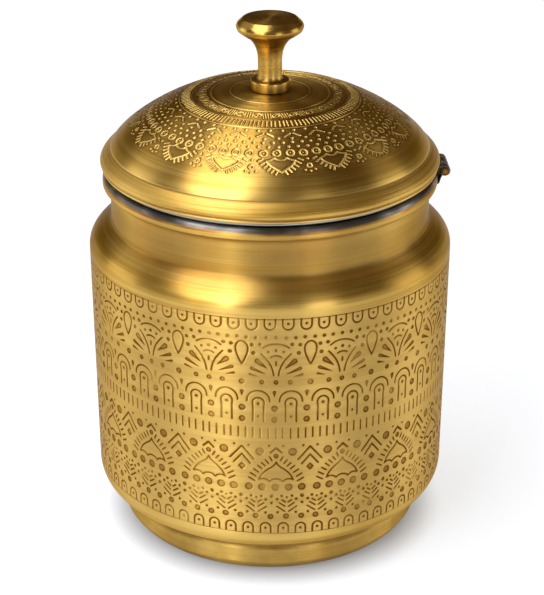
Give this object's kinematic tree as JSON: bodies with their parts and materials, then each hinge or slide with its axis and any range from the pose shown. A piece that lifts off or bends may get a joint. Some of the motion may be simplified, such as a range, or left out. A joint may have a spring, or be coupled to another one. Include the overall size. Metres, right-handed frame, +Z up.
{
  "type": "ghee pot",
  "caption": "Round brass storage pot with a flared lip on a foot ring, and a domed lid that swings on a small pin hinge and is lifted by a turned knob.",
  "frame": {"origin": "middle of the foot ring's underside, on the surface that the pot stands on", "axes": "+Z up along the pot's axis, +Y towards the hinge at the back, hinge pin along X"},
  "size_m": [0.12, 0.12, 0.1753],
  "materials": {
    "spun_brass": "brushed on the lathe, pressed ornament darkened with brown, tin-coated inside",
    "foot_brass": "brushed on the lathe, plain",
    "lid_brass": "brushed on the lathe, chased ornament round the dome, tin-coated underneath",
    "turned_brass": "turned and polished",
    "tinned_brass": "coated with tin, dull grey, brown at the edges",
    "screw_steel": "plated, satin"
  },
  "bodies": {
    "pot": {"pot_body": "spun_brass", "foot_ring": "foot_brass", "pot_hinge_leaf": "tinned_brass", "hinge_pin": "turned_brass"},
    "lid": {"lid_dome": "lid_brass", "knob": "turned_brass", "knob_screw": "screw_steel", "knob_washer": "screw_steel", "lid_hinge_leaf": "tinned_brass"}
  },
  "joints": [
    {"name": "lid_hinge", "type": "hinge", "parent": "pot", "child": "lid", "pos_m": [0, 0.05715, 0.12425], "axis": [-1, 0, 0], "range_deg": [0, 110]}
  ]
}
